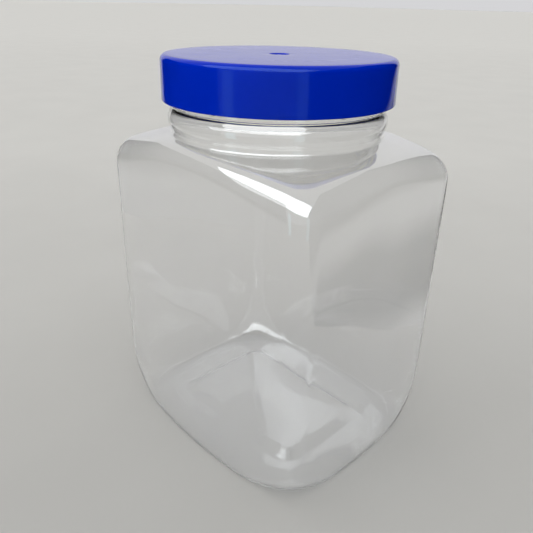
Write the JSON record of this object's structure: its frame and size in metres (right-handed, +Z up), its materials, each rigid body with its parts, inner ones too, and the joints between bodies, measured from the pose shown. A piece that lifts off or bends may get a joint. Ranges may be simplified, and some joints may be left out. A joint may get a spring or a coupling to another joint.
{
  "type": "wide-mouth canister",
  "caption": "Clear blow-moulded wide-mouth canister with bowed sides, a rounded heel and a smooth blue screw lid over a foam liner.",
  "frame": {"origin": "centre of the foot, where the canister stands", "axes": "+Z up through the mouth and the lid, X along the longer side of the plan, Y along the shorter side"},
  "size_m": [0.1578, 0.132, 0.223],
  "materials": {
    "clear_pet": "clear, glossy, blow-moulded",
    "blue_lid": "cobalt blue, glossy, injection-moulded",
    "foam_liner": "white, fine-celled foam"
  },
  "bodies": {
    "jar": {"jar_body": "clear_pet"},
    "liner": {"liner": "foam_liner"},
    "lid": {"lid": "blue_lid"}
  },
  "joints": [
    {"name": "lid_rise", "type": "slide", "parent": "jar", "child": "liner", "axis": [0, 0, 1], "range_m": [0, 0.0204]},
    {"name": "lid_turn", "type": "hinge", "parent": "liner", "child": "lid", "pos_m": [0, 0, 0.2], "axis": [0, 0, 1], "range_deg": [0, 1440]}
  ],
  "couplings": [
    {"joint": "lid_rise", "follows": "lid_turn", "m_per_rad": 0.00080851}
  ]
}
